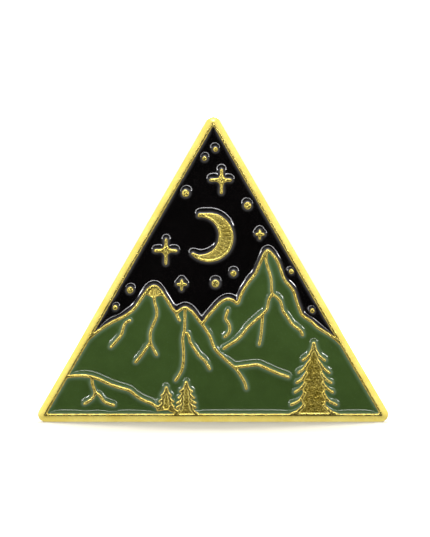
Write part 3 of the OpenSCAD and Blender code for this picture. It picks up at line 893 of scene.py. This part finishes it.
metal = struck_piece("struck_face")
metal.data.materials.append(GOLD)
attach(metal, "badge")
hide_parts("badge_plate")

for owner, material, slot in (("sky_enamel", BLACK, "black_enamel"),
                              ("mountain_enamel", GREEN, "green_enamel"),
                              ("hill_enamel", GREEN, "green_enamel")):
    piece = enamel_piece(owner + "_fill", owner)
    piece.data.materials.append(material)
    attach(piece, "badge")
    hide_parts(owner)

# The material slots of the CAD nodes that stay
CAD_MATERIALS = {
    "clutch_brass": spun_material("clutch_brass_plated", (0.83, 0.64, 0.27), (0.70, 0.50, 0.18)),
    "spring_brass": spun_material("spring_brass_sheet", (0.80, 0.63, 0.29), (0.66, 0.48, 0.19),
                                  False, 0.24, 0.4),
    "brass_post": spun_material("post_brass_drawn", (0.82, 0.66, 0.33), (0.70, 0.53, 0.24),
                                False, 0.16, 0.28),
    "solder": spun_material("solder_tin", (0.62, 0.62, 0.62), (0.42, 0.41, 0.40),
                            False, 0.3, 0.55),
}
for node in NODES.values():
    for holder in node.material_slots:
        if holder.material and holder.material.name in CAD_MATERIALS:
            holder.material = CAD_MATERIALS[holder.material.name]

# ---------------------------------------------------------------- camera, light and floor

VIEW_CENTRE_X, VIEW_CENTRE_Z = 0.0002, 0.00764   # metres
VIEW_HEIGHT = 0.0582                             # metres in view at the pin's face
LENS, SENSOR = 250.0, 36.0                       # mm
FACE_Y = plate_lo.y
FLOOR_SIZE = 2.0                                 # metres from the middle to each edge
GLOW_NEAR, GLOW_FAR, GLOW = 50.0, 240.0, 0.75    # the floor's painted glow, which grows away from the pin: mm from the pin, and strength
WHITE = 1.05                                     # the plain background behind the floor

camera_data = bpy.data.cameras.new("camera")
camera_data.lens = LENS
camera_data.sensor_width = SENSOR
camera_data.clip_start, camera_data.clip_end = 0.01, 10.0
camera = bpy.data.objects.new("camera", camera_data)
bpy.context.scene.collection.objects.link(camera)
camera.location = (VIEW_CENTRE_X, FACE_Y - LENS / SENSOR * VIEW_HEIGHT, VIEW_CENTRE_Z)
camera.rotation_euler = (math.radians(90), 0, 0)
bpy.context.scene.camera = camera


def area_light(name, azimuth, elevation, distance, width, height, radiance):
    """A flat light that faces the pin's middle. Radiance is what a mirror would show of it."""
    a, e = math.radians(azimuth), math.radians(elevation)
    target = Vector((0, FACE_Y, VIEW_CENTRE_Z))
    back = Vector((math.sin(a) * math.cos(e), -math.cos(a) * math.cos(e), math.sin(e)))
    data = bpy.data.lights.new(name, "AREA")
    data.shape = "RECTANGLE"
    data.size, data.size_y = width, height
    data.energy = radiance * math.pi * width * height
    light = bpy.data.objects.new(name, data)
    light.location = target + back * distance
    light.rotation_mode = "QUATERNION"
    light.rotation_quaternion = (-back).to_track_quat("-Z", "Y")
    bpy.context.scene.collection.objects.link(light)


# A long thin strip for the enamel's highlight lines, with a brighter spot near each end
area_light("strip", 0, 8.5, 0.7, 0.40, 0.012, 17.0)
for side in (-1, 1):
    area_light("strip_end", side * 14.5, 9.3, 0.73, 0.024, 0.024, 46.0)
area_light("key", 0, 46, 0.6, 0.36, 0.1, 8.0)

world = bpy.data.worlds.new("studio")
world.use_nodes = True
bpy.context.scene.world = world
wt = world.node_tree
wt.nodes.clear()


def wnode(kind, **settings):
    node = wt.nodes.new(kind)
    for key, value in settings.items():
        setattr(node, key, value)
    return node


def wrange(value, low, high, out_low, out_high):
    """The value eased from one range into another, held at both ends."""
    node = wnode("ShaderNodeMapRange", interpolation_type="SMOOTHSTEP")
    wt.links.new(value, node.inputs["Value"])
    for key, v in (("From Min", low), ("From Max", high),
                   ("To Min", out_low), ("To Max", out_high)):
        node.inputs[key].default_value = v
    return node.outputs["Result"]


def wmath(operation, a, b):
    node = wnode("ShaderNodeMath", operation=operation)
    for socket, value in zip(node.inputs, (a, b)):
        if hasattr(value, "is_output"):
            wt.links.new(value, socket)
        else:
            socket.default_value = value
    return node.outputs[0]


direction = wnode("ShaderNodeTexCoord").outputs["Generated"]
split = wnode("ShaderNodeSeparateXYZ")
wt.links.new(direction, split.inputs[0])
dx, dy, dz = split.outputs
front = wmath("MULTIPLY", dy, -1.0)
# A dark oval on the camera's side, bright all round it, brighter above than below, and dimmer
# straight behind
side = wmath("DIVIDE", dx, 0.72)
rise = wmath("MAXIMUM", wmath("DIVIDE", dz, 0.86), wmath("DIVIDE", dz, -0.80))
squares = wmath("ADD", wmath("MULTIPLY", side, side), wmath("MULTIPLY", rise, rise))
spread = wmath("SQRT", squares, 0.0)
hole = wrange(spread, 0.26, 1.0, 0.009, 1.0)
hole = wmath("MAXIMUM", hole, wrange(front, -0.1, 0.2, 1.0, 0.0))
height_light = wrange(dz, -0.6, 0.6, 0.9, 1.4)
behind = wrange(dy, 0.5, 0.96, 1.0, 0.6)
strength = wmath("MULTIPLY", wmath("MULTIPLY", hole, height_light), behind)
background = wnode("ShaderNodeBackground")
wt.links.new(strength, background.inputs["Strength"])
background.inputs["Color"].default_value = (1.0, 0.985, 0.96, 1.0)
white = wnode("ShaderNodeBackground")
white.inputs["Color"].default_value = (1, 1, 1, 1)
white.inputs["Strength"].default_value = WHITE
path = wnode("ShaderNodeLightPath")
blend = wnode("ShaderNodeMixShader")
wt.links.new(path.outputs["Is Camera Ray"], blend.inputs[0])
wt.links.new(background.outputs[0], blend.inputs[1])
wt.links.new(white.outputs[0], blend.inputs[2])
output = wnode("ShaderNodeOutputWorld")
wt.links.new(blend.outputs[0], output.inputs[0])

floor = mesh_object("floor", [(x * FLOOR_SIZE, y * FLOOR_SIZE, cad_lo.z)
                              for x, y in ((-1, -1), (1, -1), (1, 1), (-1, 1))],
                    [(0, 1, 2, 3)], False)
paper = Nodes("pale_paper")
paper_tone = paper.mix(paper.noise(0.05, 3.0), colour(0.39, 0.37, 0.305), colour(0.41, 0.39, 0.33))
away = paper.new("ShaderNodeVectorMath", operation="LENGTH")
paper.put(away.inputs[0], paper.mm)
glow = paper.ramp(away.outputs["Value"], GLOW_NEAR, GLOW_FAR, 0.0, GLOW)
floor.data.materials.append(paper.finish(Base_Color=paper_tone, Roughness=0.9,
                                         Emission_Color=colour(1, 1, 1), Emission_Strength=glow))
floor.visible_glossy = False
area_light("overhead", 0, 82, 0.6, 0.7, 0.7, 1.1)
area_light("back", 180, 38, 0.6, 0.7, 0.2, 26.0)

bpy.context.scene.view_settings.view_transform = "Standard"
